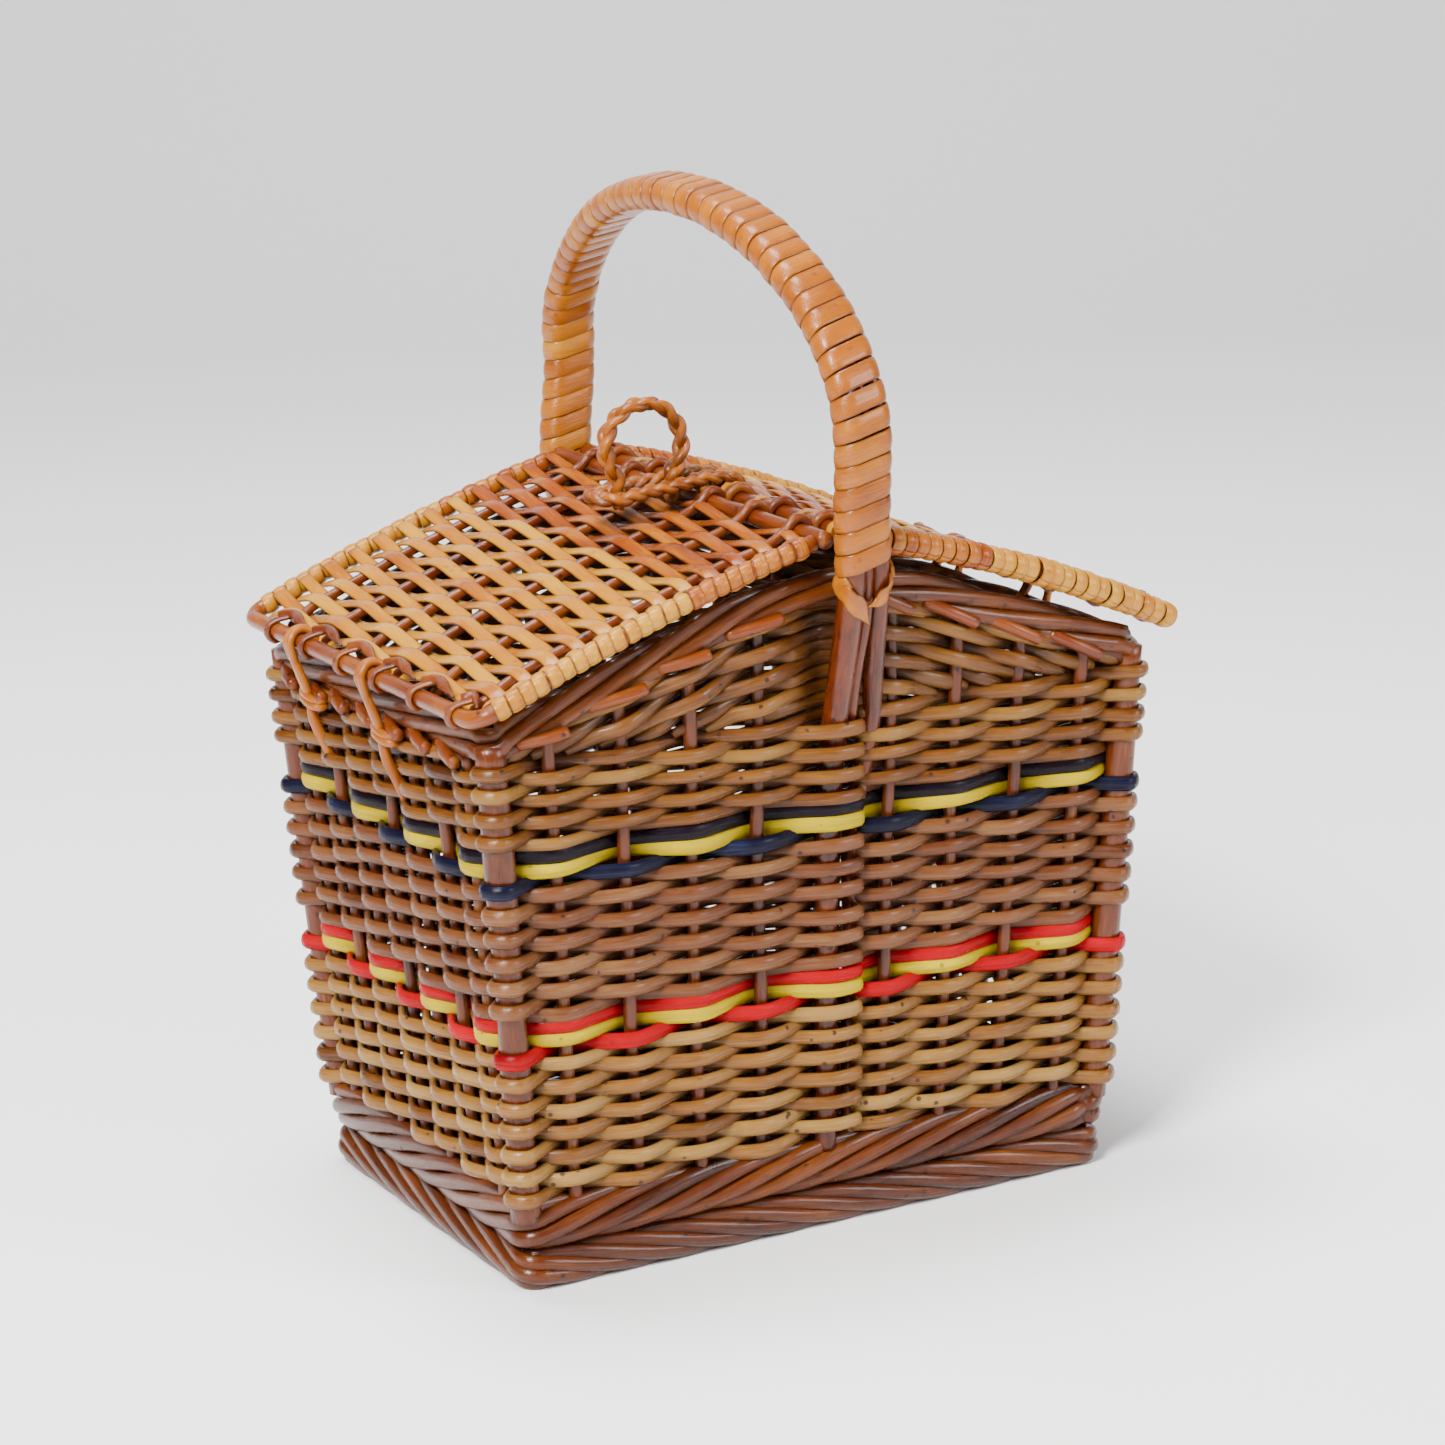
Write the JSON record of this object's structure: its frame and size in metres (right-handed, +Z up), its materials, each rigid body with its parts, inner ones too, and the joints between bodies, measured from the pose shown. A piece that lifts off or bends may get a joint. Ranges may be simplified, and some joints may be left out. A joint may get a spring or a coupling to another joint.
{
  "type": "lidded wicker picnic basket",
  "caption": "Rectangular woven wicker basket with flared walls, peaked gables, a wrapped bow handle, hinged roof-shaped lids and a braided ring and hasp fastening.",
  "frame": {"origin": "centre of the basket's foot on the ground", "axes": "+Z up, +X across the gable faces towards the right lid's hinge, +Y along the ridge towards the back gable"},
  "size_m": [0.321, 0.2745, 0.4124],
  "materials": {
    "woven_willow": "varnished peeled willow weavers, tan with darker knots",
    "dark_willow": "stained dark red-brown willow, glossy varnish",
    "peeled_rod": "round willow rods, orange-brown, glossy varnish",
    "wrapping_cane": "flat cane binding, orange-tan, glossy varnish",
    "split_cane": "flat split willow skeins, light tan, satin varnish",
    "tying_cane": "twisted and braided cane, orange-brown, glossy varnish",
    "red_willow": "red dyed weaver, glossy",
    "yellow_willow": "yellow dyed weaver, glossy",
    "navy_willow": "dark blue to purple dyed weaver, glossy"
  },
  "bodies": {
    "basket": {"base_panel": "peeled_rod", "base_sticks": "peeled_rod", "foot_border": "dark_willow", "upsett_wale": "dark_willow", "lower_weave": "woven_willow", "red_row_lower": "red_willow", "yellow_row_lower": "yellow_willow", "red_row_upper": "red_willow", "middle_weave": "woven_willow", "navy_row_lower": "navy_willow", "yellow_row_upper": "yellow_willow", "navy_row_upper": "navy_willow", "upper_weave": "woven_willow", "front_gable_weave": "woven_willow", "back_gable_weave": "woven_willow", "front_gable_border": "dark_willow", "back_gable_border": "dark_willow", "left_eave_border": "dark_willow", "right_eave_border": "dark_willow", "front_left_post": "peeled_rod", "front_right_post": "peeled_rod", "back_left_post": "peeled_rod", "back_right_post": "peeled_rod", "front_stakes": "peeled_rod", "back_stakes": "peeled_rod", "left_stakes": "peeled_rod", "right_stakes": "peeled_rod", "bow_thick_rod": "peeled_rod", "bow_slim_rod": "peeled_rod", "bow_side_rod": "peeled_rod", "handle_wrap": "wrapping_cane", "front_wrap_tail": "wrapping_cane", "back_wrap_tail": "wrapping_cane", "left_hinge_loops": "tying_cane", "right_hinge_loops": "tying_cane"},
    "left_lid": {"left_lid_eave_rod": "peeled_rod", "left_lid_ridge_rod": "peeled_rod", "left_lid_front_rod": "peeled_rod", "left_lid_back_rod": "peeled_rod", "left_lid_stakes": "peeled_rod", "left_lid_weave": "split_cane", "left_lid_edge_wraps": "split_cane", "staple_ring": "tying_cane"},
    "right_lid": {"right_lid_eave_rod": "peeled_rod", "right_lid_ridge_rod": "peeled_rod", "right_lid_front_rod": "peeled_rod", "right_lid_back_rod": "peeled_rod", "right_lid_stakes": "peeled_rod", "right_lid_weave": "split_cane", "right_lid_edge_wraps": "split_cane", "right_lid_ridge_wraps": "split_cane"},
    "hasp": {"hasp_loop": "tying_cane"}
  },
  "joints": [
    {"name": "left_lid_hinge", "type": "hinge", "parent": "basket", "child": "left_lid", "pos_m": [-0.154, 0, 0.2345], "axis": [0, -1, 0], "range_deg": [0, 105]},
    {"name": "right_lid_hinge", "type": "hinge", "parent": "basket", "child": "right_lid", "pos_m": [0.154, 0, 0.2345], "axis": [0, 1, 0], "range_deg": [0, 105]},
    {"name": "hasp_hinge", "type": "hinge", "parent": "right_lid", "child": "hasp", "pos_m": [0.0065, -0.006, 0.2855], "axis": [0, 1, 0], "range_deg": [0, 150], "deforming": ["hasp_loop"]}
  ]
}
